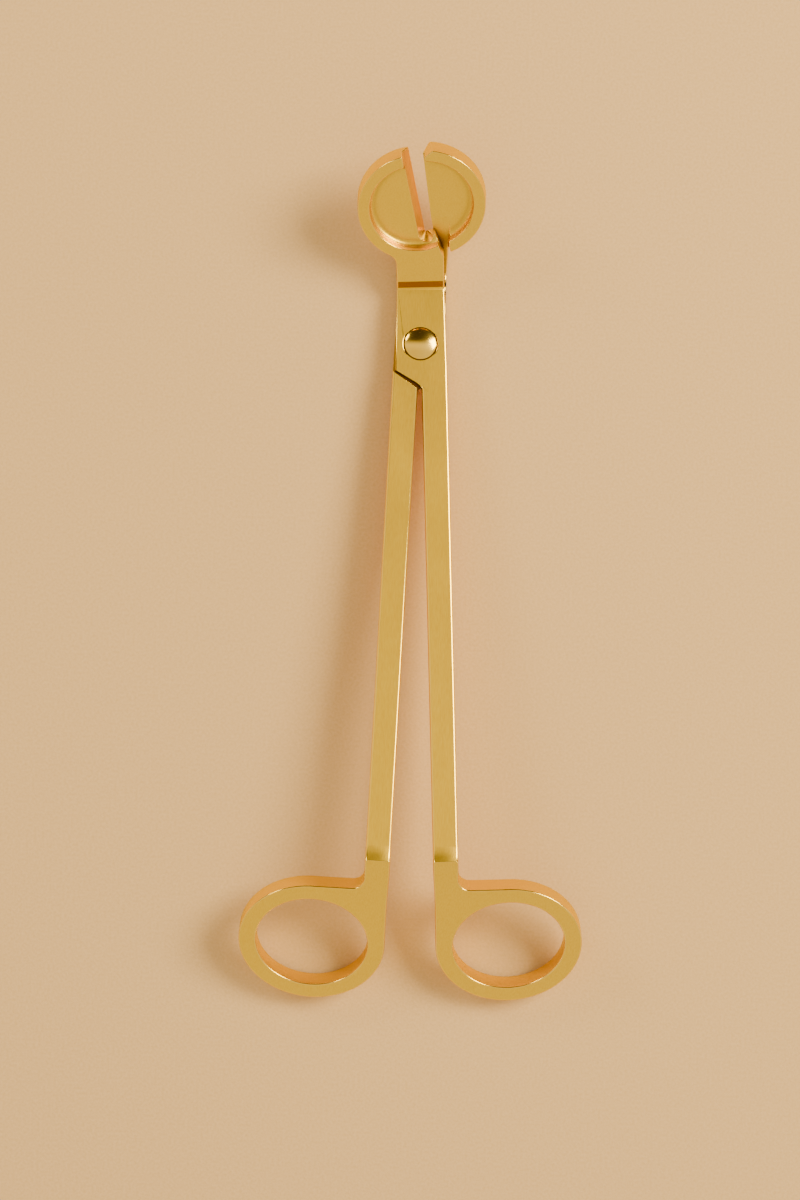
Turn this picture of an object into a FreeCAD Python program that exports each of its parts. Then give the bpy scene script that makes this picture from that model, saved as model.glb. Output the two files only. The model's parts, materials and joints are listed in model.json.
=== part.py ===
import FreeCAD, Part
import math
import os
import re
import Sketcher

# Wick trimmer: two crossed levers that turn on a domed pivot screw. The front lever carries the right
# arm and the left half of the head, the back lever the left arm and the right half. Each half head is a
# raised rim round a thin floor, and the floors shear the wick along their straight sides.
#
# Each lever is drawn closed, in the lever frame: the pivot at the origin, X across, Y towards the head
# and Z towards the front, with the levers' lapped faces at Z = 0. At the end both are opened to their
# rest angle and laid down, so the trimmer stands on Z = 0 with its box centred on the Z axis.

Vector = FreeCAD.Vector
Rotation = FreeCAD.Rotation
Placement = FreeCAD.Placement

# ---------------------------------------------------------------- driving dimensions, mm and degrees

SIZES = [
    ("plate", 2.1, "thickness of one lapped half, and of a blade floor"),
    ("play", 0.04, "clearance between the lapped faces, and between the blades"),
    # arms
    ("arm_gap", 0.16, "gap between the closed arms"),
    ("arm_root", 5.4, "outer side of an arm beside the pivot"),
    ("arm_foot", 5.2, "outer side of an arm at the finger loop"),
    # lap joint
    ("lap_side", 5.3, "half width of the lap at its lower outer corner"),
    ("lap_neck", 4.6, "half width of the lap at the neck, away from the arm"),
    ("neck_side", 5.2, "half width of the neck on the arm's side"),
    ("lap_corner", 5.3, "distance of the lap's outer corner below the pivot"),
    ("lap_inner", 0.9, "distance of the lap's inner corner from the middle line"),
    ("lap_end", 8.15, "distance of the lap's inner corner below the pivot"),
    ("lap_round", 1.0, "rounding of the lap's inner corner, where the plate runs on as the arm"),
    ("shoulder_gap", 0.6, "gap between a lap's edge and the other lever's shoulder"),
    # neck
    ("neck_bend", 40.0, "angle of the head to the arms"),
    ("neck_at", 15.3, "distance of the neck's bend from the pivot"),
    ("neck_round", 4.0, "outer rounding of the neck's bend"),
    ("ridge_back", 2.6, "distance of the front step's ridge before the neck's bend"),
    ("step_run", 1.1, "length of the front step, from its foot to its ridge"),
    ("step_round", 0.7, "rounding at the foot of the front step"),
    ("relief", 0.85, "depth of the back lever's relief behind the front neck"),
    ("relief_back", 4.3, "distance of the relief's start before the neck's bend"),
    ("relief_past", 5.95, "how far the relief reaches past the recess's edge"),
    # head
    ("head_thick", 4.6, "thickness of a half head at its rim"),
    ("head_x", -0.3, "centre of the head across the levers"),
    ("neck_run", 5.15, "length of the neck, from its bend to the rim"),
    ("head_radius", 12.0, "outer radius of the rim"),
    ("rim", 2.4, "width of the rim"),
    ("tray_round", 1.1, "rounding at the foot of the recess wall"),
    ("head_fillet", 2.5, "fillet between the rim and the neck"),
    # blades
    ("cut_slope", 9.4, "angle of the cutting edges to the middle line"),
    ("front_cut", 0.22, "front cutting edge, across, at the head's centre"),
    ("back_cut", 0.0, "back cutting edge, across, at the head's centre"),
    ("bevel", 1.35, "width of a blade's bevel"),
    ("horn", 0.35, "width left beside the slot end"),
    ("flank_clear", 0.5, "how far the front head's cut-back flank starts inside the rim"),
    ("step_clear", 0.2, "clearance of the back half's raised metal round the front neck"),
    ("throat_clear", 0.1, "clearance of the back rim's foot beside the front neck"),
    ("throat_run", 1.6, "length of the back rim's straight foot"),
    ("throat_land", 0.4, "floor between the back cutting edge and the back rim's foot"),
    ("rim_setback", 0.4, "setback of the back rim's ends from its cutting edge"),
    ("slot_land", 0.8, "floor left between the front blade's slot end and the recess's edge"),
    ("slot_core", 0.2, "radius of the slot's conical end where it leaves the floor's back"),
    ("blade_land", 2.25, "floor left between the back cutting edge and the recess's edge"),
    ("tip_cut", 1.55, "size of the facet on the back rim's tip"),
    ("tip_lean", 0.3, "how much the facet leans outwards through the head"),
    # finger loops
    ("loop_bend", 30.0, "angle of the finger loops to the arms"),
    ("loop_at", 106.4, "distance of the loops' bend from the pivot"),
    ("loop_thick", 4.7, "thickness of a finger loop"),
    ("ramp", 3.1, "length of the ramp at the end of an arm"),
    ("ramp_radius", 12.0, "hollow radius of the ramp"),
    ("ridge_past", 0.35, "distance of the loop's ridge past the loops' bend"),
    ("loop_inner", 0.26, "distance of a closed loop from the middle line"),
    ("loop_neck", 5.73, "distance of a loop from the loops' bend"),
    ("hole_long", 23.0, "length of a finger hole"),
    ("hole_wide", 19.8, "width of a finger hole"),
    ("loop_ends", 3.55, "width of the loop's band at the ends of the hole"),
    ("loop_sides", 3.15, "width of the loop's band along the hole"),
    ("loop_turn", 5.0, "turn of a loop, outer end towards the head"),
    ("loop_merge", 0.04, "how far a loop's straight sides run inside its oval's extremes"),
    ("loop_fillet", 2.4, "fillet between an arm and its loop"),
    ("back_round", 9.0, "rounding in the back of the loops' bend"),
    # pivot
    ("shank", 4.0, "diameter of the screw's shoulder"),
    ("shank_play", 0.05, "radial clearance of the shoulder in the front lever"),
    ("dome", 6.5, "diameter of the screw's head"),
    ("dome_rise", 0.85, "height of the dome over the front face"),
    ("dome_edge", 0.2, "height of the dome's edge over the front face"),
    ("sink_play", 0.2, "radial clearance round the head and the nut"),
    ("sink", 0.5, "depth of the recesses for the head and the nut"),
    ("stud", 3.2, "diameter of the threaded end"),
    ("thread_play", 0.02, "radial clearance that stands for the thread"),
    ("washer", 0.3, "thickness of the washer"),
    ("nut", 1.2, "thickness of the nut"),
    ("nut_width", 6.4, "diameter of the nut"),
    ("nut_slot", 0.9, "width of the nut's driver slots"),
    # pose
    ("opening", 4.6, "angle between the levers at rest"),
]

doc = FreeCAD.newDocument("wick_trimmer")
sheet = doc.addObject("Spreadsheet::Sheet", "Sizes")
for row, (alias, size, meaning) in enumerate(SIZES, start=1):
    sheet.set(f"A{row}", meaning)
    sheet.set(f"B{row}", str(size))
    sheet.setAlias(f"B{row}", alias)
doc.recompute()

ALIAS = re.compile(r"\b(" + "|".join(alias for alias, size, meaning in SIZES) + r")\b")

# ---------------------------------------------------------------- lengths that follow from them

STEP_AT = "(neck_at - ridge_back - step_run)"
RELIEF_AT = "(neck_at - relief_back)"
LOOP_RIDGE = "(loop_at + ridge_past)"
TRAY_RADIUS = "(head_radius - rim)"
# Distances along the head from the neck's bend.
HEAD_FAR = "(neck_run + head_radius)"
TRAY_EDGE = "(neck_run + rim)"
SLOT_RADIUS = "(slot_core + bevel)"
SLOT_FAR = f"({TRAY_EDGE} + slot_land + {SLOT_RADIUS})"
BLADE_FOOT = f"({TRAY_EDGE} + blade_land)"
RELIEF_END = f"({TRAY_EDGE} + relief_past)"
# A finger loop's oval: its outline, half its extent across and along once it is turned, and its centre.
LOOP_LONG = "(hole_long + 2 * loop_ends)"
LOOP_WIDE = "(hole_wide + 2 * loop_sides)"
LOOP_SPREAD = f"sqrt(({LOOP_LONG} / 2 * cos(loop_turn)) ^ 2 + ({LOOP_WIDE} / 2 * sin(loop_turn)) ^ 2)"
LOOP_REACH = f"sqrt(({LOOP_WIDE} / 2 * cos(loop_turn)) ^ 2 + ({LOOP_LONG} / 2 * sin(loop_turn)) ^ 2)"
LOOP_X = f"(loop_inner + {LOOP_SPREAD})"
LOOP_FAR = f"(loop_neck + {LOOP_REACH})"


def bound(text):
    """The expression that text means, with each alias read from the sheet."""
    return ALIAS.sub(r"Sizes.\1", text)


def value(text):
    """The present value of an expression."""
    return float(sheet.evalExpression(bound(text)))


def bind(thing, path, text):
    """Tie one property of thing to an expression."""
    thing.setExpression(path, bound(text))


# ---------------------------------------------------------------- planes and sketches

FRONT = "XY_Plane"
SIDE = "YZ_Plane"


def flat(level):
    """The lever's own plane, at a height over the lap."""
    return FRONT, {"Base.z": level}


def side(across):
    """A plane across the levers, seen from the right, with Y and Z as its axes."""
    return SIDE, {"Base.z": across}


def head(level):
    """The head's plane, at a height over the blades; its Y runs from the bend to the tip."""
    return FRONT, {
        "Base.y": f"neck_at - ({level}) * sin(neck_bend)",
        "Base.z": f"({level}) * cos(neck_bend)",
        "Rotation.Angle": "neck_bend",
    }


def loop(level):
    """The finger loops' plane, at a height over its middle; its Y runs from the loop to the bend."""
    return FRONT, {
        "Base.y": f"-loop_at - ({level}) * sin(loop_bend)",
        "Base.z": f"({level}) * cos(loop_bend)",
        "Rotation.Angle": "loop_bend",
    }


def sketch(body, name, plane):
    """An empty sketch on one of the body's own planes."""
    role, offsets = plane
    drawing = body.newObject("Sketcher::SketchObject", name)
    support = [item for item in body.Origin.OriginFeatures if item.Role == role][0]
    drawing.AttachmentSupport = (support, [""])
    drawing.MapMode = "FlatFace"
    turn = value(offsets.get("Rotation.Angle", "0"))
    drawing.AttachmentOffset = Placement(Vector(0, 0, 0), Rotation(Vector(1, 0, 0), turn))
    for path, text in offsets.items():
        bind(drawing, "AttachmentOffset." + path, text)
    return drawing


def limit(drawing, kind, *terms):
    """Add a constraint whose last term is an expression."""
    number = drawing.addConstraint(Sketcher.Constraint(kind, *terms[:-1], value(terms[-1])))
    bind(drawing, f"Constraints[{number}]", terms[-1])


def pin(drawing, element, vertex, x, y):
    """Fix one point of an element at expressions for its place."""
    limit(drawing, "DistanceX", -1, 1, element, vertex, x)
    limit(drawing, "DistanceY", -1, 1, element, vertex, y)


def outline(body, name, plane, corners, arcs=None):
    """A closed outline through corners, counter-clockwise where it has arcs.

    arcs gives a radius for each side that is an arc: round bulges outwards, hollow inwards.
    """
    drawing = sketch(body, name, plane)
    arcs = arcs or {}
    places = [Vector(value(x), value(y), 0) for x, y in corners]
    count = len(corners)
    vertices = []
    for number in range(count):
        start = places[number]
        end = places[(number + 1) % count]
        if number not in arcs:
            drawing.addGeometry(Part.LineSegment(start, end))
            vertices.append((1, 2))
            continue
        shape, size = arcs[number]
        first, last = (start, end) if shape == "round" else (end, start)
        chord = last - first
        rise = math.sqrt(value(size) ** 2 - (chord.Length / 2) ** 2)
        centre = (first + last) / 2 + Vector(-chord.y, chord.x, 0) * (rise / chord.Length)
        circle = Part.Circle(centre, Vector(0, 0, 1), value(size))
        drawing.addGeometry(Part.ArcOfCircle(circle, circle.parameter(first), circle.parameter(last)))
        vertices.append((1, 2) if shape == "round" else (2, 1))
    for number in range(count):
        following = (number + 1) % count
        drawing.addConstraint(Sketcher.Constraint(
            "Coincident", number, vertices[number][1], following, vertices[following][0]))
        pin(drawing, number, vertices[number][0], *corners[number])
    for number, (shape, size) in arcs.items():
        limit(drawing, "Radius", number, size)
    return drawing


def round_outline(body, name, plane, x, y, radius):
    """A circle."""
    drawing = sketch(body, name, plane)
    centre = Vector(value(x), value(y), 0)
    drawing.addGeometry(Part.Circle(centre, Vector(0, 0, 1), value(radius)))
    pin(drawing, 0, 3, x, y)
    limit(drawing, "Radius", 0, radius)
    return drawing


def oval_outline(body, name, plane, x, y, long_axis, wide_axis, turn):
    """An ellipse whose long axis is turned from X."""
    drawing = sketch(body, name, plane)
    centre = Vector(value(x), value(y), 0)
    angle = math.radians(value(turn))
    along = Vector(math.cos(angle), math.sin(angle), 0) * (value(long_axis) / 2)
    across = Vector(-math.sin(angle), math.cos(angle), 0) * (value(wide_axis) / 2)
    drawing.addGeometry(Part.Ellipse(centre + along, centre + across, centre))
    drawing.exposeInternalGeometry(0)
    pin(drawing, 0, 3, x, y)
    limit(drawing, "Distance", 1, long_axis)
    limit(drawing, "Distance", 2, wide_axis)
    number = drawing.addConstraint(Sketcher.Constraint("Angle", 1, angle))
    bind(drawing, f"Constraints[{number}]", turn)
    return drawing


# ---------------------------------------------------------------- features

def add(body, name, drawing, length):
    """Pad a sketch along its normal."""
    feature = body.newObject("PartDesign::Pad", name)
    feature.Profile = drawing
    bind(feature, "Length", length)
    doc.recompute()
    return feature


def cut(body, name, drawing, length, lean=None, taper=None, reverse=False):
    """Pocket a sketch against its normal, or along it in reverse.

    lean slants the pocket, and taper is the angle by which its sides draw in.
    """
    before = body.Tip.Shape.Volume
    feature = body.newObject("PartDesign::Pocket", name)
    feature.Profile = drawing
    bind(feature, "Length", length)
    if lean:
        feature.UseCustomVector = True
        feature.AlongSketchNormal = True
        feature.Direction = Vector(*[value(text) for text in lean])
        for axis, text in zip("xyz", lean):
            bind(feature, "Direction." + axis, text)
    if taper:
        bind(feature, "TaperAngle", f"-({taper})")
    feature.Reversed = reverse
    doc.recompute()
    if not feature.Shape.Volume < before:
        raise RuntimeError(f"{name} cuts nothing")
    return feature


def fillet(body, name, base, test, radius):
    """Round those edges of base that pass a test."""
    picked = [f"Edge{number}" for number, edge in enumerate(base.Shape.Edges, start=1) if test(edge)]
    if not picked:
        raise RuntimeError(f"{name} finds no edge")
    feature = body.newObject("PartDesign::Fillet", name)
    feature.Base = (base, picked)
    bind(feature, "Radius", radius)
    doc.recompute()
    return feature


def new_body(name):
    body = doc.addObject("PartDesign::Body", name)
    body.Label = name
    return body


# ---------------------------------------------------------------- tests that pick edges

NEAR = 0.02
HEAD_NORMAL = Rotation(Vector(1, 0, 0), value("neck_bend")).multVec(Vector(0, 0, 1))
HEAD_ALONG = Rotation(Vector(1, 0, 0), value("neck_bend")).multVec(Vector(0, 1, 0))
HEAD_ORIGIN = Vector(0, value("neck_at"), 0)
LOOP_NORMAL = Rotation(Vector(1, 0, 0), value("loop_bend")).multVec(Vector(0, 0, 1))
LOOP_ALONG = Rotation(Vector(1, 0, 0), value("loop_bend")).multVec(Vector(0, 1, 0))
LOOP_ORIGIN = Vector(0, -value("loop_at"), 0)


def middle(edge):
    return edge.valueAt((edge.FirstParameter + edge.LastParameter) / 2)


def ends(edge):
    return [vertex.Point for vertex in edge.Vertexes]


def is_line(edge, direction):
    """Whether edge is straight and runs along direction."""
    if edge.Curve.TypeId != "Part::GeomLine":
        return False
    run = ends(edge)[-1] - ends(edge)[0]
    return run.Length > NEAR and abs(run.normalize().dot(direction)) > 1 - NEAR ** 2


def head_place(point):
    """Place of a point in the head's own frame: across, along from the bend, height."""
    step = point - HEAD_ORIGIN
    return Vector(step.x, step.dot(HEAD_ALONG), step.dot(HEAD_NORMAL))


def loop_place(point):
    """Place of a point in the loops' own frame: across, along from the bend, height."""
    step = point - LOOP_ORIGIN
    return Vector(step.x, -step.dot(LOOP_ALONG), step.dot(LOOP_NORMAL))


# ---------------------------------------------------------------- the levers' shared stretch

# The upper end of the lap's edge and the other lever's shoulder are parallel, shoulder_gap apart.
LAP_RUN = "(lap_side - lap_inner)"
LAP_DROP = "(lap_end - lap_corner)"
LAP_LENGTH = f"sqrt({LAP_RUN} ^ 2 + {LAP_DROP} ^ 2)"
SHOULDER_SHIFT = f"(shoulder_gap * {LAP_LENGTH} / {LAP_RUN})"
SHOULDER_OUTER = f"(lap_corner + {SHOULDER_SHIFT} - (arm_root - lap_side) * {LAP_DROP} / {LAP_RUN})"
SHOULDER_INNER = f"(lap_end + {SHOULDER_SHIFT} + (lap_inner - arm_gap / 2) * {LAP_DROP} / {LAP_RUN})"
# The plate's sketch runs this far down into the arm, so that the two merge.
ARM_OVERLAP = 8
ARM_END = f"({LOOP_RIDGE} - ramp)"
# The neck's profile runs from under the lap to this far along the head.
NECK_OVERLAP = 1
NECK_START = f"({RELIEF_AT} - {NECK_OVERLAP})"
NECK_LENGTH = 2.5


def arm_side(y):
    """Outer side of the tapered arm at a distance below the pivot."""
    return f"(arm_root + (arm_foot - arm_root) * ({y} - {SHOULDER_OUTER}) / ({ARM_END} - {SHOULDER_OUTER}))"


def lap_and_arm(body, hand, low):
    """Lapped plate and full-thickness arm; hand is the arm's side, low the plate's lower face."""
    below = f"(lap_end + {ARM_OVERLAP})"
    plate = outline(body, "LapSketch", flat(low), [
        (f"{-hand} * lap_side", "-lap_corner"),
        (f"{-hand} * lap_inner", "-lap_end"),
        (f"{hand} * arm_gap / 2", f"-{SHOULDER_INNER}"),
        (f"{hand} * arm_gap / 2", f"-{below}"),
        (f"{hand} * {arm_side(below)}", f"-{below}"),
        (f"{hand} * arm_root", f"-{SHOULDER_OUTER}"),
        (f"{hand} * neck_side", NECK_START),
        (f"{hand} * neck_side", STEP_AT),
        (f"{-hand} * lap_neck", STEP_AT),
    ])
    add(body, "Lap", plate, "plate - play / 2")
    arm = outline(body, "ArmSketch", flat("-plate"), [
        (f"{hand} * arm_gap / 2", f"-{SHOULDER_INNER}"),
        (f"{hand} * arm_gap / 2", f"-{ARM_END}"),
        (f"{hand} * arm_foot", f"-{ARM_END}"),
        (f"{hand} * arm_root", f"-{SHOULDER_OUTER}"),
    ])
    return add(body, "Arm", arm, "2 * plate")


RAMP_LEVEL = "loop_thick / 2"
# The bend runs this far into the arm, and this far along the loops' plane.
BEND_OVERLAP = 1
LOOP_START = 3.0
# The loop's plate starts inside the bend, and turns in towards the oval's inner side here.
PLATE_START = 1.5
PLATE_TURN = 9.0


def loop_profile(level, along):
    """Expressions for Y and Z of a point in the loops' frame."""
    y = f"-loop_at - ({level}) * sin(loop_bend) - ({along}) * cos(loop_bend)"
    z = f"({level}) * cos(loop_bend) - ({along}) * sin(loop_bend)"
    return y, z


def finger_loop(body, hand):
    """Bend at the arm's end, and the oval loop with its finger hole."""
    # Where the loop's front face stands over the ridge, and where its back face meets the arm's.
    ridge_along = f"((ridge_past - {RAMP_LEVEL} * sin(loop_bend)) / cos(loop_bend))"
    ridge = loop_profile(RAMP_LEVEL, ridge_along)
    back_along = f"((plate - {RAMP_LEVEL} * cos(loop_bend)) / sin(loop_bend))"
    corner = loop_profile(f"-{RAMP_LEVEL}", back_along)
    width = "(arm_foot - arm_gap / 2)"
    left = "arm_gap / 2" if hand > 0 else "-arm_foot"
    bend = outline(body, "HandleBendSketch", side(left), [
        (f"-{ARM_END} + {BEND_OVERLAP}", "-plate"),
        (f"-{ARM_END} + {BEND_OVERLAP}", "plate"),
        (f"-{ARM_END}", "plate"),
        ridge,
        loop_profile(RAMP_LEVEL, str(LOOP_START)),
        loop_profile(f"-{RAMP_LEVEL}", str(LOOP_START)),
        corner,
    ], {2: ("hollow", "ramp_radius")})
    add(body, "HandleBend", bend, width)

    # The plate between the arm and the oval: its top and inner side run just inside the oval's
    # extremes, so that each meets the oval at a shallow angle.
    inner = "(loop_inner + loop_merge)"
    top = "(loop_neck + loop_merge)"
    root = outline(body, "LoopRootSketch", loop(f"-{RAMP_LEVEL}"), [
        (f"{hand} * arm_gap / 2", f"-{PLATE_START}"),
        (f"{hand} * arm_gap / 2", f"-{LOOP_START}"),
        (f"{hand} * {inner}", f"-{PLATE_TURN}"),
        (f"{hand} * {inner}", f"-{LOOP_FAR}"),
        (f"{hand} * {LOOP_X}", f"-{LOOP_FAR}"),
        (f"{hand} * {LOOP_X}", f"-{top}"),
        (f"{hand} * arm_foot", f"-{top}"),
        (f"{hand} * arm_foot", f"-{PLATE_START}"),
    ])
    add(body, "LoopRoot", root, "loop_thick")
    centre = (f"{hand} * {LOOP_X}", f"-{LOOP_FAR}")
    oval = oval_outline(body, "LoopSketch", loop(f"-{RAMP_LEVEL}"), *centre,
                        LOOP_LONG, LOOP_WIDE, f"{hand} * loop_turn")
    add(body, "Loop", oval, "loop_thick")
    hole = oval_outline(body, "FingerHoleSketch", loop(RAMP_LEVEL), *centre,
                        "hole_long", "hole_wide", f"{hand} * loop_turn")
    tip = cut(body, "FingerHole", hole, "loop_thick")

    tip = fillet(body, "LapRound", tip, lambda edge: (
        is_line(edge, Vector(0, 0, 1))
        and abs(middle(edge).x + hand * value("lap_inner")) < NEAR
        and abs(middle(edge).y + value("lap_end")) < NEAR), "lap_round")
    tip = fillet(body, "LoopFillet", tip, lambda edge: (
        is_line(edge, LOOP_NORMAL)
        and abs(loop_place(middle(edge)).x - hand * value("arm_foot")) < NEAR
        and abs(loop_place(middle(edge)).y - value(top)) < NEAR), "loop_fillet")
    tip = fillet(body, "HandleBackRound", tip, lambda edge: (
        is_line(edge, Vector(1, 0, 0))
        and abs(middle(edge).z + value("plate")) < NEAR
        and middle(edge).y < -value(ARM_END)), "back_round")
    return tip


# ---------------------------------------------------------------- the heads' shared shapes

# Cuts run out past the heads to these, and past other metal by a spare length.
BEYOND = 3
FAR_SIDE = f"(head_radius + {BEYOND})"
FAR_TIP = f"({HEAD_FAR} + head_radius + {BEYOND})"
SPARE = 1


def cut_line(across, along):
    """Across position of a line parallel to the cutting edges, at a distance from the bend."""
    return f"({across} - tan(cut_slope) * ({along} - {HEAD_FAR}))"


def head_profile(level, along):
    """Expressions for Y and Z of a point in the head's frame."""
    y = f"neck_at - ({level}) * sin(neck_bend) + ({along}) * cos(neck_bend)"
    z = f"({level}) * cos(neck_bend) + ({along}) * sin(neck_bend)"
    return y, z


def slant(across, along, drop):
    """Direction in the lever frame that goes across and along the head while it drops."""
    return [
        across,
        f"({along}) * cos(neck_bend) + ({drop}) * sin(neck_bend)",
        f"({along}) * sin(neck_bend) - ({drop}) * cos(neck_bend)",
    ]


# A blade's bevel moves square to its cutting edge while it drops by the floor's thickness.
BEVEL_SLANT = slant("bevel * cos(cut_slope)", "bevel * sin(cut_slope)", "plate")


def half_head(body, low, top):
    """Round plate with its recess, between two heights over the blades."""
    disc = round_outline(body, "HeadSketch", head(low), "head_x", HEAD_FAR, "head_radius")
    add(body, "Head", disc, f"({top}) - ({low})")
    tray = round_outline(body, "TraySketch", head(top), "head_x", HEAD_FAR, TRAY_RADIUS)
    tip = cut(body, "Tray", tray, "head_thick - plate")
    floor_level = value(top) - value("head_thick - plate")
    return fillet(body, "TrayRound", tip, lambda edge: (
        edge.Curve.TypeId == "Part::GeomCircle"
        and abs(edge.Curve.Radius - value(TRAY_RADIUS)) < NEAR
        and abs(head_place(middle(edge)).z - floor_level) < NEAR), "tray_round")


def pivot_holes(body, radius, sink_top, sink_radius):
    """Bore on the pivot axis, and the round sink at its outer face."""
    bore = round_outline(body, "BoreSketch", flat("plate"), "0", "0", radius)
    cut(body, "Bore", bore, "2 * plate")
    recess = round_outline(body, "SinkSketch", flat(sink_top), "0", "0", sink_radius)
    cut(body, "Sink", recess, "sink")


# ---------------------------------------------------------------- front lever

def front_lever():
    body = new_body("front_lever")
    lap_and_arm(body, 1, "play / 2")
    finger_loop(body, 1)

    ridge_along = "((head_thick * sin(neck_bend) - ridge_back) / cos(neck_bend))"
    neck = outline(body, "NeckSketch", side("-lap_neck"), [
        (NECK_START, "play / 2"),
        ("neck_at - play / 2 * tan(neck_bend / 2)", "play / 2"),
        head_profile("play / 2", str(NECK_LENGTH)),
        head_profile("head_thick", str(NECK_LENGTH)),
        head_profile("head_thick", ridge_along),
        (STEP_AT, "plate"),
        (NECK_START, "plate"),
    ])
    tip = add(body, "Neck", neck, "lap_neck + neck_side")
    fillet(body, "StepRound", tip, lambda edge: (
        is_line(edge, Vector(1, 0, 0))
        and abs(middle(edge).y - value(STEP_AT)) < NEAR
        and abs(middle(edge).z - value("plate")) < NEAR), "step_round")

    plate = outline(body, "NeckPlateSketch", head("play / 2"), [
        ("-lap_neck", str(NECK_LENGTH / 2)),
        ("neck_side", str(NECK_LENGTH / 2)),
        ("neck_side", TRAY_EDGE),
        ("-lap_neck", TRAY_EDGE),
    ])
    add(body, "NeckPlate", plate, "head_thick - play / 2")
    tip = half_head(body, "play / 2", "head_thick")
    tip = fillet(body, "NeckFillet", tip, lambda edge: (
        is_line(edge, HEAD_NORMAL)
        and abs(middle(edge).x + value("lap_neck")) < NEAR
        and edge.Length > value("plate")), "head_fillet")

    # The rim's ends and the blade's bevel, down to the slot end.
    front = "(front_cut - bevel / cos(cut_slope))"
    slot_x = f"({cut_line(front, SLOT_FAR)} + {SLOT_RADIUS} / cos(cut_slope))"
    touch = f"({SLOT_FAR} - {SLOT_RADIUS} * sin(cut_slope))"
    corners = [
        (cut_line(front, touch), touch),
        (cut_line(front, FAR_TIP), FAR_TIP),
        (FAR_SIDE, FAR_TIP),
        (FAR_SIDE, SLOT_FAR),
        (slot_x, SLOT_FAR),
    ]
    ends_cut = outline(body, "RimEndSketch", head("head_thick"), corners)
    cut(body, "RimEnd", ends_cut, "head_thick - plate")
    bevel_cut = outline(body, "BevelSketch", head("plate"), corners)
    cut(body, "Bevel", bevel_cut, "plate", lean=BEVEL_SLANT)
    mouth = round_outline(body, "SlotMouthSketch", head("head_thick"), slot_x, SLOT_FAR, SLOT_RADIUS)
    cut(body, "SlotMouth", mouth, "head_thick - plate")
    slot = round_outline(body, "SlotSketch", head("plate"), slot_x, SLOT_FAR, SLOT_RADIUS)
    cut(body, "SlotEnd", slot, "plate", taper="atan(bevel / plate)")

    # The lower right side, clear of the back rim when the levers close.
    horn = f"({slot_x} + {SLOT_RADIUS} + horn)"
    shoulder_far = "(neck_run + flank_clear)"
    flank = outline(body, "FlankSketch", head("head_thick"), [
        (horn, f"{SLOT_FAR} + bevel"),
        (horn, SLOT_FAR),
        ("neck_side", shoulder_far),
        (FAR_SIDE, shoulder_far),
        (FAR_SIDE, f"{SLOT_FAR} + bevel"),
    ])
    cut(body, "Flank", flank, "head_thick")

    pivot_holes(body, "shank / 2 + shank_play", "plate", "dome / 2 + sink_play")
    return body


# ---------------------------------------------------------------- back lever

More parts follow.
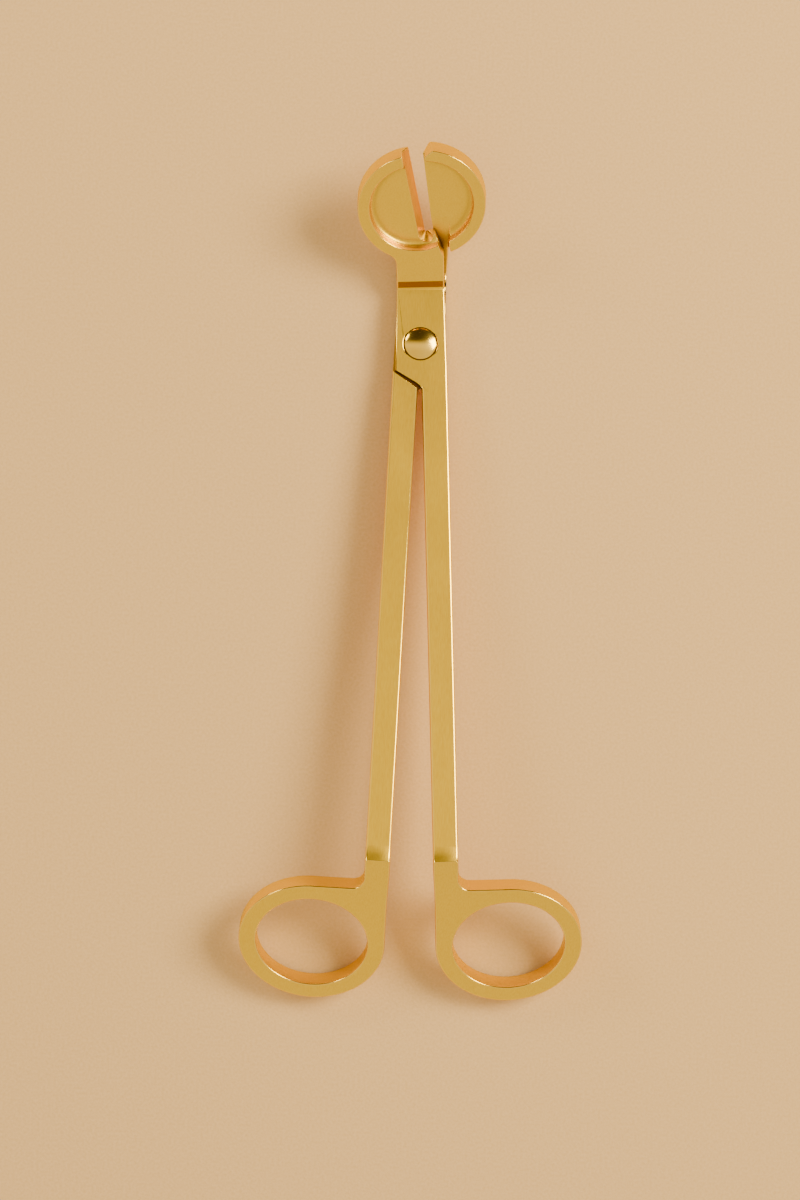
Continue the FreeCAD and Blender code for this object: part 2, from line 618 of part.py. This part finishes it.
def back_lever():
    body = new_body("back_lever")
    lap_and_arm(body, -1, "-plate")
    finger_loop(body, -1)

    neck = outline(body, "NeckSketch", side("-neck_side"), [
        (NECK_START, "-plate"),
        ("neck_at + plate * tan(neck_bend / 2)", "-plate"),
        head_profile("-plate", str(NECK_LENGTH)),
        head_profile("-play / 2", str(NECK_LENGTH)),
        ("neck_at + play / 2 * tan(neck_bend / 2)", "-play / 2"),
        (NECK_START, "-play / 2"),
    ])
    tip = add(body, "Neck", neck, "neck_side + lap_neck")
    fillet(body, "NeckBackRound", tip, lambda edge: (
        is_line(edge, Vector(1, 0, 0))
        and abs(middle(edge).z + value("plate")) < NEAR
        and middle(edge).y > value("neck_at")), "neck_round")

    plate = outline(body, "NeckPlateSketch", head("-plate"), [
        ("-neck_side", str(NECK_LENGTH / 2)),
        ("lap_neck", str(NECK_LENGTH / 2)),
        ("lap_neck", TRAY_EDGE),
        ("-neck_side", TRAY_EDGE),
    ])
    add(body, "NeckPlate", plate, "plate - play / 2")
    half_head(body, "-plate", "head_thick - plate - play / 2")

    # The rim's ends and everything raised that would stand in the front neck's way.
    rim_line = "(back_cut + rim_setback / cos(cut_slope))"
    rim_foot = "(lap_neck + throat_clear)"
    throat_end = f"({BLADE_FOOT} - throat_land)"
    clear = outline(body, "ClearSketch", head("head_thick - plate"), [
        (f"-{FAR_SIDE}", str(-NECK_LENGTH)),
        ("neck_side + step_clear", str(-NECK_LENGTH)),
        ("neck_side + step_clear", "neck_run + flank_clear"),
        (rim_foot, f"{throat_end} - throat_run"),
        (rim_foot, throat_end),
        (cut_line(rim_line, throat_end), throat_end),
        (cut_line(rim_line, FAR_TIP), FAR_TIP),
        (f"-{FAR_SIDE}", FAR_TIP),
    ])
    cut(body, "Clear", clear, "head_thick - plate + play / 2")

    blade = outline(body, "BladeSketch", head("-play / 2"), [
        (f"-{FAR_SIDE}", FAR_TIP),
        (cut_line("back_cut", FAR_TIP), FAR_TIP),
        (cut_line("back_cut", BLADE_FOOT), BLADE_FOOT),
        ("-neck_side", str(NECK_LENGTH)),
        (f"-{FAR_SIDE}", str(NECK_LENGTH)),
    ])
    cut(body, "Blade", blade, "plate", lean=BEVEL_SLANT)

    # The relief lets the back neck swing up past the front neck as the levers open.
    relief = outline(body, "ReliefSketch", side("lap_neck"), [
        (RELIEF_AT, "plate"),
        (RELIEF_AT, "-play / 2"),
        (f"{RELIEF_AT} + relief", "-relief"),
        ("neck_at + relief * tan(neck_bend / 2)", "-relief"),
        head_profile("0", RELIEF_END),
        head_profile("plate", RELIEF_END),
    ])
    cut(body, "Relief", relief, f"lap_neck + neck_side + {SPARE}")

    # The facet across the rim's tip.
    facet_foot = f"({HEAD_FAR} + head_radius - tip_cut)"
    tip_x = cut_line(rim_line, facet_foot)
    facet = outline(body, "FacetSketch", head("head_thick - plate"), [
        (f"{tip_x} - {SPARE}", f"{facet_foot} - {SPARE}"),
        (f"{tip_x} + tip_cut + {SPARE}", f"{HEAD_FAR} + head_radius + {SPARE}"),
        (f"{tip_x} - {SPARE}", f"{HEAD_FAR} + head_radius + {SPARE}"),
    ])
    cut(body, "Facet", facet, "head_thick", lean=slant("-tip_lean", "tip_lean", "head_thick"))

    pivot_holes(body, "stud / 2 + thread_play", "-plate + sink", "nut_width / 2 + sink_play")
    return body


# ---------------------------------------------------------------- pivot

def turned(name, corners, arcs=None):
    """A body turned about the pivot axis from half a section, with across and height as its axes."""
    body = new_body(name)
    section = outline(body, "SectionSketch", ("XZ_Plane", {}), corners, arcs)
    feature = body.newObject("PartDesign::Revolution", "Turned")
    feature.Profile = section
    feature.ReferenceAxis = (section, ["V_Axis"])
    feature.Angle = 360
    doc.recompute()
    return body


HEAD_SEAT = "(plate - sink + play / 2)"
WASHER_SEAT = "(sink - plate)"
NUT_SEAT = f"({WASHER_SEAT} - washer)"
NUT_END = f"({NUT_SEAT} - nut)"


def pivot_screw():
    rise = "(dome_rise - dome_edge)"
    return turned("pivot_screw", [
        ("0", NUT_END),
        ("stud / 2", NUT_END),
        ("stud / 2", "-play / 2"),
        ("shank / 2", "-play / 2"),
        ("shank / 2", HEAD_SEAT),
        ("dome / 2", HEAD_SEAT),
        ("dome / 2", "plate + dome_edge"),
        ("0", "plate + dome_rise"),
    ], {6: ("round", f"((dome / 2) ^ 2 + {rise} ^ 2) / (2 * {rise})")})


def spring_washer():
    inner = "(stud / 2 + thread_play)"
    return turned("spring_washer", [
        (inner, NUT_SEAT),
        ("nut_width / 2", NUT_SEAT),
        ("nut_width / 2", WASHER_SEAT),
        (inner, WASHER_SEAT),
    ])


def pivot_nut():
    inner = "(stud / 2 + thread_play)"
    bevel = "(nut / 4)"
    body = turned("pivot_nut", [
        (inner, NUT_END),
        (f"nut_width / 2 - {bevel}", NUT_END),
        ("nut_width / 2", f"{NUT_END} + {bevel}"),
        ("nut_width / 2", NUT_SEAT),
        (inner, NUT_SEAT),
    ])
    slots = outline(body, "SlotSketch", flat(NUT_END), [
        ("-nut_width", "-nut_slot / 2"),
        ("nut_width", "-nut_slot / 2"),
        ("nut_width", "nut_slot / 2"),
        ("-nut_width", "nut_slot / 2"),
    ])
    cut(body, "DriverSlots", slots, "nut / 2", reverse=True)
    return body


# ---------------------------------------------------------------- rest pose

FRONT_HALF = [front_lever()]
BACK_HALF = [back_lever(), pivot_screw(), spring_washer(), pivot_nut()]


def rest_tilt():
    """Slope of the arms when the far ends of the loops and the back of the neck lie on a table."""
    far = [value(text) for text in loop_profile(f"-{RAMP_LEVEL}", f"({LOOP_FAR} + {LOOP_REACH})")]
    centre_y = value("neck_at + (plate - neck_round) * tan(neck_bend / 2)")
    centre_z = value("neck_round - plate")
    run = centre_y - far[0]
    rise = centre_z - far[1]
    return math.degrees(math.atan2(rise, run) - math.asin(value("neck_round") / math.hypot(run, rise)))


laid = Placement(Vector(0, 0, 0), Rotation(Vector(1, 0, 0), -rest_tilt()))
for turn, half in ((0.5, FRONT_HALF), (-0.5, BACK_HALF)):
    swing = Placement(Vector(0, 0, 0), Rotation(Vector(0, 0, 1), turn * value("opening")))
    for body in half:
        body.Placement = laid * swing
doc.recompute()

BODIES = FRONT_HALF + BACK_HALF
box = FreeCAD.BoundBox()
for body in BODIES:
    box.add(body.Shape.optimalBoundingBox(False, False))
stand = Placement(Vector(-box.Center.x, -box.Center.y, -box.ZMin), Rotation())
for body in BODIES:
    body.Placement = stand * body.Placement
doc.recompute()

for item in doc.Objects:
    if "Invalid" in item.State or "Error" in item.State:
        raise RuntimeError(f"{item.Name} is {item.State}")
for body in BODIES:
    if body.Shape.isNull() or not body.Shape.isValid() or len(body.Shape.Solids) != 1:
        raise RuntimeError(f"{body.Label} is not one valid solid")

pivot = stand.multVec(Vector(0, 0, 0))
print("tilt", rest_tilt(), "pivot", pivot, "box", box)
for body in BODIES:
    print(body.Label, round(body.Shape.Volume, 2))

os.makedirs("parts", exist_ok=True)
for body in BODIES:
    body.Shape.exportStep(f"parts/{body.Label}.step")
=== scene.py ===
import json
import math

import bmesh
import bpy
from mathutils import Matrix, Vector


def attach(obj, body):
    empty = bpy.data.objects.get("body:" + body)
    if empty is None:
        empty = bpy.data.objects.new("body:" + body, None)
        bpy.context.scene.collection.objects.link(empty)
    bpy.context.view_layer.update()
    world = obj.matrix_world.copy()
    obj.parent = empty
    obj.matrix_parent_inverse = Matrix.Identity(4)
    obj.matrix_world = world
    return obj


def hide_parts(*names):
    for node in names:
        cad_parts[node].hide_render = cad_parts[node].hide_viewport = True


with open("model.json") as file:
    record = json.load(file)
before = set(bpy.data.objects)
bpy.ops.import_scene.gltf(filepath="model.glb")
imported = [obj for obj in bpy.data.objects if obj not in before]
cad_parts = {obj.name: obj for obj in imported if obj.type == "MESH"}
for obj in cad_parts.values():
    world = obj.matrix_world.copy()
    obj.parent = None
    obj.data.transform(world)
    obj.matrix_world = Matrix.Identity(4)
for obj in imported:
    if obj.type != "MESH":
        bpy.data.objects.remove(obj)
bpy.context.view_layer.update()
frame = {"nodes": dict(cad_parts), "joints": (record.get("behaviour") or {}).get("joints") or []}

# The wick trimmer lies on a sheet of beige paper, under a soft light from the right. Its two levers are
# copies of the CAD levers with polished bevels; the pivot's pieces are the CAD nodes themselves.

MM = 0.001
scene = bpy.context.scene


# ---------------------------------------------------------------- the levers' own frame

JOINT = frame["joints"][0]
PIVOT = Vector(JOINT["pos_m"])
AXIS = Vector(JOINT["axis"])
# At rest each lever is turned by half of the way that it has left to close.
REST_TURN = math.radians(-JOINT["range_deg"][0] / 2)
# The head's plane: where it leaves the arms' plane, at what angle, and the head's middle in it.
NECK_AT = 15.3 * MM
NECK_BEND = math.radians(40)
HEAD_CENTRE = 17.15 * MM


def lever_frame(turn):
    """Matrix from the row frame to a closed lever's frame: X across, Y to the head, Z to the front."""
    across = Vector((1, 0, 0))
    axes = Matrix((across, AXIS.cross(across), AXIS)).to_4x4()
    return Matrix.Rotation(-turn, 4, "Z") @ axes @ Matrix.Translation(-PIVOT)


def head_radius(place):
    """Distance of a point in the lever's frame from the middle of the head, in the head's plane."""
    along = (place - Vector((0, NECK_AT, 0))).dot(Vector((0, math.cos(NECK_BEND), math.sin(NECK_BEND))))
    return math.hypot(place.x, along - HEAD_CENTRE)


# ---------------------------------------------------------------- bevels

# Widths of the polished bevels.
ARM_BEVEL = 0.42 * MM
LOOP_BEVEL = 0.30 * MM
NECK_BEVEL = 0.28 * MM
RIM_BEVEL = 0.20 * MM
FINE_BEVEL = 0.07 * MM
KEEN_BEVEL = 0.03 * MM
# An edge is left alone below the least angle, gets the fine bevel of a ridge up to the ridge's, and the
# keen bevel of a blade above the blade's.
LEAST_ANGLE = math.radians(24)
RIDGE_ANGLE = math.radians(65)
BLADE_ANGLE = math.radians(105)
# The arm's stretch, as distances below the pivot, and the inside of the head's rim.
ARM_TOP = 4 * MM
RIDGE_AT = 106.8 * MM
RIM_INSIDE = 9.3 * MM


def bevel_width(edge, place, run):
    """Width of the bevel along an edge whose middle is at place and whose ends are run apart."""
    angle = edge.calc_face_angle()
    lengthwise = abs(run.y) > abs(run.x)
    if angle < LEAST_ANGLE:
        return 0
    if angle > BLADE_ANGLE or not edge.is_convex:
        return KEEN_BEVEL
    if angle < RIDGE_ANGLE:
        return FINE_BEVEL
    if place.y < -RIDGE_AT:
        return LOOP_BEVEL
    if abs(place.z) < FINE_BEVEL:
        return FINE_BEVEL
    if place.y < -ARM_TOP:
        return ARM_BEVEL if lengthwise else FINE_BEVEL
    if place.y < NECK_AT:
        return NECK_BEVEL if lengthwise else FINE_BEVEL
    if head_radius(place) > RIM_INSIDE:
        return RIM_BEVEL
    return FINE_BEVEL


def add_bevel(piece, width, limit, segments):
    """A bevel modifier on a piece's edges."""
    bevel = piece.modifiers.new("bevel", "BEVEL")
    bevel.width = width
    bevel.segments = segments
    bevel.limit_method = limit
    bevel.angle_limit = LEAST_ANGLE
    bevel.miter_outer = "MITER_ARC"
    bevel.loop_slide = False
    return bevel


# ---------------------------------------------------------------- faces

# Material slots of a lever: flat faces, bevels, facets of curved walls and the front neck's step, which is
# painted in shade.
FLAT = 0
BEVEL = 1
CURVED = 2
STEP = 3

# Points this close are one point, and faces this close in direction are one face.
MERGE = 0.002 * MM
COPLANAR = math.radians(0.5)
# The largest facet of a curved wall.
FACET_AREA = 8 * MM * MM
# How far the front step leans, as the part of its normal that points to the loops.
STEEP = 0.8


def is_curved(face):
    """Whether a face is one facet of a curved wall."""
    shallow = any(COPLANAR < edge.calc_face_angle() < LEAST_ANGLE for edge in face.edges)
    return shallow and face.calc_area() < FACET_AREA


def is_step(face, place_of):
    """Whether a face is the steep step down from the front neck to its lap."""
    along = (place_of @ face.calc_center_median()).y
    facing = place_of.to_3x3() @ face.normal
    return 0 < along < NECK_AT and facing.y < -STEEP and facing.z > 0


def face_slot(face, place_of):
    """Material slot of a face that is not a bevel."""
    if is_step(face, place_of):
        return STEP
    return CURVED if is_curved(face) else FLAT


def squareness(edge):
    """The least angle between an edge inside a flat face and the outlines that it ends on."""
    normal = edge.link_faces[0].normal
    angles = [math.pi]
    for vertex in edge.verts:
        along = edge.other_vert(vertex).co - vertex.co
        for other in vertex.link_edges:
            run = other.other_vert(vertex).co - vertex.co
            if other.calc_face_angle() > COPLANAR and abs(run.normalized().dot(normal)) < COPLANAR:
                angles.append(along.angle(run))
    return min(angles)


def join_flat_faces(draft):
    """Join faces that lie in one plane. The edges that stay, beside a hole, are those that end squarely."""
    inner = [edge for edge in draft.edges if edge.calc_face_angle() < COPLANAR]
    for edge in sorted(inner, key=squareness):
        if edge.is_valid:
            bmesh.utils.face_join(edge.link_faces)
    draft.normal_update()


# ---------------------------------------------------------------- node helpers

def new_material(name):
    """A material with its node tree, Principled shader and coordinates in the row frame."""
    material = bpy.data.materials.new(name)
    material.use_nodes = True
    tree = material.node_tree
    return material, tree, tree.nodes["Principled BSDF"], tree.nodes.new("ShaderNodeTexCoord")


def noise(tree, coordinates, spacing, detail):
    """Noise whose grains are spacing = (x, y, z) apart, in millimetres."""
    mapping = tree.nodes.new("ShaderNodeMapping")
    mapping.inputs["Scale"].default_value = [1 / (step * MM) for step in spacing]
    tree.links.new(coordinates.outputs["Object"], mapping.inputs["Vector"])
    texture = tree.nodes.new("ShaderNodeTexNoise")
    texture.inputs["Scale"].default_value = 1
    texture.inputs["Detail"].default_value = detail
    tree.links.new(mapping.outputs["Vector"], texture.inputs["Vector"])
    return texture.outputs["Fac"]


# The range that nearly all of a noise lies in.
NOISE_LOW = 0.3
NOISE_HIGH = 0.7


def spread(tree, source, low, high):
    """The noise's usual range stretched to low..high."""
    ranged = tree.nodes.new("ShaderNodeMapRange")
    ranged.inputs["From Min"].default_value = NOISE_LOW
    ranged.inputs["From Max"].default_value = NOISE_HIGH
    ranged.inputs["To Min"].default_value = low
    ranged.inputs["To Max"].default_value = high
    tree.links.new(source, ranged.inputs["Value"])
    return ranged.outputs["Result"]


def mixed_colour(tree, source, dark, light):
    """A colour between dark and light, as the noise goes."""
    ramp = tree.nodes.new("ShaderNodeValToRGB")
    first, last = ramp.color_ramp.elements
    first.position = NOISE_LOW
    first.color = (*dark, 1)
    last.position = NOISE_HIGH
    last.color = (*light, 1)
    tree.links.new(source, ramp.inputs["Fac"])
    return ramp.outputs["Color"]


def add_bump(tree, shader, source, height, below=None):
    """Relief of that height, in metres, on top of another bump."""
    bump = tree.nodes.new("ShaderNodeBump")
    bump.inputs["Strength"].default_value = 1
    bump.inputs["Distance"].default_value = height
    tree.links.new(source, bump.inputs["Height"])
    if below:
        tree.links.new(below.outputs["Normal"], bump.inputs["Normal"])
    tree.links.new(bump.outputs["Normal"], shader.inputs["Normal"])
    return bump


# ---------------------------------------------------------------- materials

# Plating: satin on the faces, painted shade on the front step, brighter where it is polished.
GOLD_DARK = (0.92, 0.57, 0.018)
GOLD_LIGHT = (1.00, 0.67, 0.034)
PAINTED_SHADE_DARK = (0.30, 0.14, 0.008)
PAINTED_SHADE_LIGHT = (0.40, 0.20, 0.014)
POLISHED_DARK = (0.96, 0.62, 0.055)
POLISHED_LIGHT = (1.00, 0.70, 0.11)
# Its tint at a grazing angle, and the colour of painted shade deep in corners and gaps.
GOLD_EDGE = (1.00, 1.00, 0.30, 1)
PAINTED_CREVICE_SHADE = (0.20, 0.085, 0.004)
# How wide a gap gets painted shade, and how open a place is where the painted shade is full and where it
# ends.
SATIN_REACH = 2.4 * MM
POLISHED_REACH = 1.2 * MM
CREVICE_SHADE_FULL = 0.40
CREVICE_SHADE_NONE = 0.90

STEEL_DARK = (0.50, 0.49, 0.47)
STEEL_LIGHT = (0.66, 0.65, 0.62)
PAPER_DARK = (0.79, 0.52, 0.20)
PAPER_LIGHT = (0.87, 0.59, 0.26)


def with_painted_crevice_shade(tree, colour, reach):
    """The colour, darkened by painted shade in corners and gaps narrower than reach."""
    hollow = tree.nodes.new("ShaderNodeAmbientOcclusion")
    hollow.samples = 8
    hollow.inputs["Distance"].default_value = reach
    depth = tree.nodes.new("ShaderNodeMapRange")
    depth.inputs["From Min"].default_value = CREVICE_SHADE_FULL
    depth.inputs["From Max"].default_value = CREVICE_SHADE_NONE
    tree.links.new(hollow.outputs["AO"], depth.inputs["Value"])
    mix = tree.nodes.new("ShaderNodeMix")
    mix.data_type = "RGBA"
    mix.inputs["A"].default_value = (*PAINTED_CREVICE_SHADE, 1)
    tree.links.new(depth.outputs["Result"], mix.inputs["Factor"])
    tree.links.new(colour, mix.inputs["B"])
    return mix.outputs["Result"]


def satin_gold(name, dark, light):
    """Fine satin plating, brushed along the levers, with faint clouds where it has been handled."""
    material, tree, shader, place = new_material(name)
    brushing = noise(tree, place, spacing=(0.20, 3.0, 0.20), detail=3)
    clouds = noise(tree, place, spacing=(9, 14, 9), detail=3)
    grain = noise(tree, place, spacing=(0.35, 0.50, 0.35), detail=3)
    # Painted shade darkens the satin colour in corners and gaps.
    colour = with_painted_crevice_shade(tree, mixed_colour(tree, brushing, dark, light), SATIN_REACH)
    tree.links.new(colour, shader.inputs["Base Color"])
    tree.links.new(spread(tree, clouds, low=0.30, high=0.38), shader.inputs["Roughness"])
    shader.inputs["Metallic"].default_value = 1
    shader.inputs["Specular Tint"].default_value = GOLD_EDGE
    brushed = add_bump(tree, shader, brushing, height=0.010 * MM)
    add_bump(tree, shader, grain, height=0.012 * MM, below=brushed)
    return material


def polished_gold(name):
    """Bright plating on bevels and the pivot, with hairline scratches."""
    material, tree, shader, place = new_material(name)
    hairlines = noise(tree, place, spacing=(0.08, 1.2, 0.08), detail=2)
    wear = noise(tree, place, spacing=(3, 5, 3), detail=2)
    # Painted shade darkens the polished colour in corners and gaps.
    colour = with_painted_crevice_shade(tree, mixed_colour(tree, wear, POLISHED_DARK, POLISHED_LIGHT), POLISHED_REACH)
    tree.links.new(colour, shader.inputs["Base Color"])
    tree.links.new(spread(tree, wear, low=0.13, high=0.20), shader.inputs["Roughness"])
    shader.inputs["Metallic"].default_value = 1
    shader.inputs["Specular Tint"].default_value = GOLD_EDGE
    add_bump(tree, shader, hairlines, height=0.001 * MM)
    return material


def spring_steel():
    """Bright turned steel of the washer."""
    material, tree, shader, place = new_material("spring_steel")
    turning = noise(tree, place, spacing=(0.15, 0.15, 0.15), detail=2)
    colour = mixed_colour(tree, turning, STEEL_DARK, STEEL_LIGHT)
    tree.links.new(colour, shader.inputs["Base Color"])
    tree.links.new(spread(tree, turning, low=0.22, high=0.34), shader.inputs["Roughness"])
    shader.inputs["Metallic"].default_value = 1
    return material


def beige_paper():
    """Uncoated paper with a fine tooth."""
    material, tree, shader, place = new_material("beige_paper")
    tooth = noise(tree, place, spacing=(0.55, 0.55, 0.55), detail=4)
    clouds = noise(tree, place, spacing=(30, 30, 30), detail=2)
    colour = mixed_colour(tree, tooth, PAPER_DARK, PAPER_LIGHT)
    tree.links.new(colour, shader.inputs["Base Color"])
    tree.links.new(spread(tree, clouds, low=0.88, high=0.96), shader.inputs["Roughness"])
    shader.inputs["Specular IOR Level"].default_value = 0.2
    add_bump(tree, shader, tooth, height=0.05 * MM)
    return material


# ---------------------------------------------------------------- pieces

def bevelled_lever(node, turn, materials):
    """A copy of a CAD lever whose edges are bevelled, with one material for each kind of face."""
    mesh = frame["nodes"][node].data.copy()
    mesh.name = node + "_finished"
    for layer in [item for item in mesh.attributes if item.name in ("custom_normal", "sharp_edge")]:
        mesh.attributes.remove(layer)
    mesh.materials.clear()
    for material in materials:
        mesh.materials.append(material)

    draft = bmesh.new()
    draft.from_mesh(mesh)
    bmesh.ops.remove_doubles(draft, verts=draft.verts, dist=MERGE)
    join_flat_faces(draft)
    weights = draft.edges.layers.float.new("bevel_weight_edge")
    place_of = lever_frame(turn)
    for edge in draft.edges:
        first, last = (place_of @ vertex.co for vertex in edge.verts)
        edge[weights] = bevel_width(edge, (first + last) / 2, last - first) / ARM_BEVEL
    for face in draft.faces:
        face.material_index = face_slot(face, place_of)
    draft.to_mesh(mesh)
    draft.free()

    lever = bpy.data.objects.new(mesh.name, mesh)
    scene.collection.objects.link(lever)
    bevel = add_bevel(lever, ARM_BEVEL, "WEIGHT", segments=3)
    bevel.material = BEVEL
    bevel.use_clamp_overlap = False
    settled = bpy.context.evaluated_depsgraph_get()
    lever.data = bpy.data.meshes.new_from_object(lever.evaluated_get(settled), depsgraph=settled)
    lever.modifiers.clear()
    for face in lever.data.polygons:
        face.use_smooth = face.material_index not in (FLAT, STEP)
    return lever


# Each lever's node, body and turn at rest.
LEVERS = [("front_lever", "front_half", REST_TURN), ("back_lever", "back_half", -REST_TURN)]


def finish_levers():
    """Both levers, in the order of slots FLAT, BEVEL, CURVED and STEP."""
    satin = satin_gold("satin_gold", GOLD_DARK, GOLD_LIGHT)
    # The front step gets the satin plating in dark colours: painted shade.
    painted_shade = satin_gold("painted_shade_gold", PAINTED_SHADE_DARK, PAINTED_SHADE_LIGHT)
    materials = [satin, polished_gold("polished_gold"), satin, painted_shade]
    for node, body, turn in LEVERS:
        lever = bevelled_lever(node, turn, materials)
        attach(lever, body)
        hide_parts(node)


def finish_pivot():
    """The screw, nut and washer, with the widths of their bevels."""
    gold = polished_gold("pivot_gold")
    for node, material, width in (
            ("pivot_screw", gold, 0.06 * MM),
            ("pivot_nut", gold, 0.05 * MM),
            ("spring_washer", spring_steel(), 0.03 * MM)):
        piece = frame["nodes"][node]
        piece.data.materials.clear()
        piece.data.materials.append(material)
        weld = piece.modifiers.new("weld", "WELD")
        weld.merge_threshold = MERGE
        add_bevel(piece, width, "ANGLE", segments=2)
        weighted = piece.modifiers.new("weighted_normal", "WEIGHTED_NORMAL")
        weighted.keep_sharp = True


# ---------------------------------------------------------------- studio

# Half the side of the paper, in metres.
PAPER_HALF = 2.0

# Lights on the trimmer: name, place in metres, power in watts, side in metres, colour.
LIGHTS = [
    ("key", (0.75, 0.35, 0.75), 17, 0.5, (1.0, 0.85, 0.66)),
    ("fill", (-0.7, 0.6, 0.5), 3, 0.3, (1.0, 0.87, 0.70)),
]

# The surroundings' colours, from the loops' side (0) over the top (0.5) to past the head (1). The light
# colour holds up to the first stop, and the dark one from the last.
STUDIO_LIGHT = (1.00, 0.81, 0.57)
STUDIO_OVERHEAD = (1.30, 1.06, 0.75)
STUDIO_DARK = (0.06, 0.045, 0.03)
STUDIO_STOPS = [(0.45, STUDIO_LIGHT), (0.60, STUDIO_OVERHEAD), (0.71, STUDIO_DARK)]

# The camera looks straight down, turned a little so that the trimmer leans to the right.
CAMERA_PLACE = (-3.3 * MM, -5.4 * MM, 703.7 * MM)
CAMERA_TURN = math.radians(1.0)
# In millimetres, as Blender takes them.
LENS = 101.5
SENSOR = 36


def add_floor():
    """A wide sheet that the trimmer lies on."""
    half = PAPER_HALF
    corners = [(-half, -half, 0), (half, -half, 0), (half, half, 0), (-half, half, 0)]
    mesh = bpy.data.meshes.new("paper")
    mesh.from_pydata(corners, [], [(0, 1, 2, 3)])
    mesh.materials.append(beige_paper())
    floor = bpy.data.objects.new("paper", mesh)
    scene.collection.objects.link(floor)


def add_light(name, place, power, size, colour):
    """A square soft light that points at the trimmer."""
    light = bpy.data.lights.new(name, "AREA")
    light.energy = power
    light.size = size
    light.color = colour
    holder = bpy.data.objects.new(name, light)
    holder.location = place
    holder.rotation_euler = (-Vector(place)).to_track_quat("-Z", "Y").to_euler()
    scene.collection.objects.link(holder)


def add_world():
    """Soft surroundings: bright overhead and towards the loops, dimmer past the head."""
    world = bpy.data.worlds.new("studio")
    scene.world = world
    world.use_nodes = True
    tree = world.node_tree
    background = tree.nodes["Background"]
    place = tree.nodes.new("ShaderNodeTexCoord")
    split = tree.nodes.new("ShaderNodeSeparateXYZ")
    tree.links.new(place.outputs["Generated"], split.inputs["Vector"])
    scaled = tree.nodes.new("ShaderNodeMapRange")
    scaled.inputs["From Min"].default_value = -1
    scaled.inputs["From Max"].default_value = 1
    tree.links.new(split.outputs["Y"], scaled.inputs["Value"])
    ramp = tree.nodes.new("ShaderNodeValToRGB")
    stops = ramp.color_ramp.elements
    stops.remove(stops[1])
    stops[0].color = (*STUDIO_LIGHT, 1)
    for position, colour in STUDIO_STOPS:
        stops.new(position).color = (*colour, 1)
    tree.links.new(scaled.outputs["Result"], ramp.inputs["Fac"])
    tree.links.new(ramp.outputs["Color"], background.inputs["Color"])
    background.inputs["Strength"].default_value = 1.0


def add_camera():
    """The camera of the photo's view."""
    camera = bpy.data.cameras.new("camera")
    camera.lens = LENS
    camera.sensor_width = SENSOR
    holder = bpy.data.objects.new("camera", camera)
    holder.location = CAMERA_PLACE
    holder.rotation_euler = (0, 0, CAMERA_TURN)
    scene.collection.objects.link(holder)
    scene.camera = holder


add_camera()
add_floor()
finish_levers()
finish_pivot()
add_world()
for light in LIGHTS:
    add_light(*light)
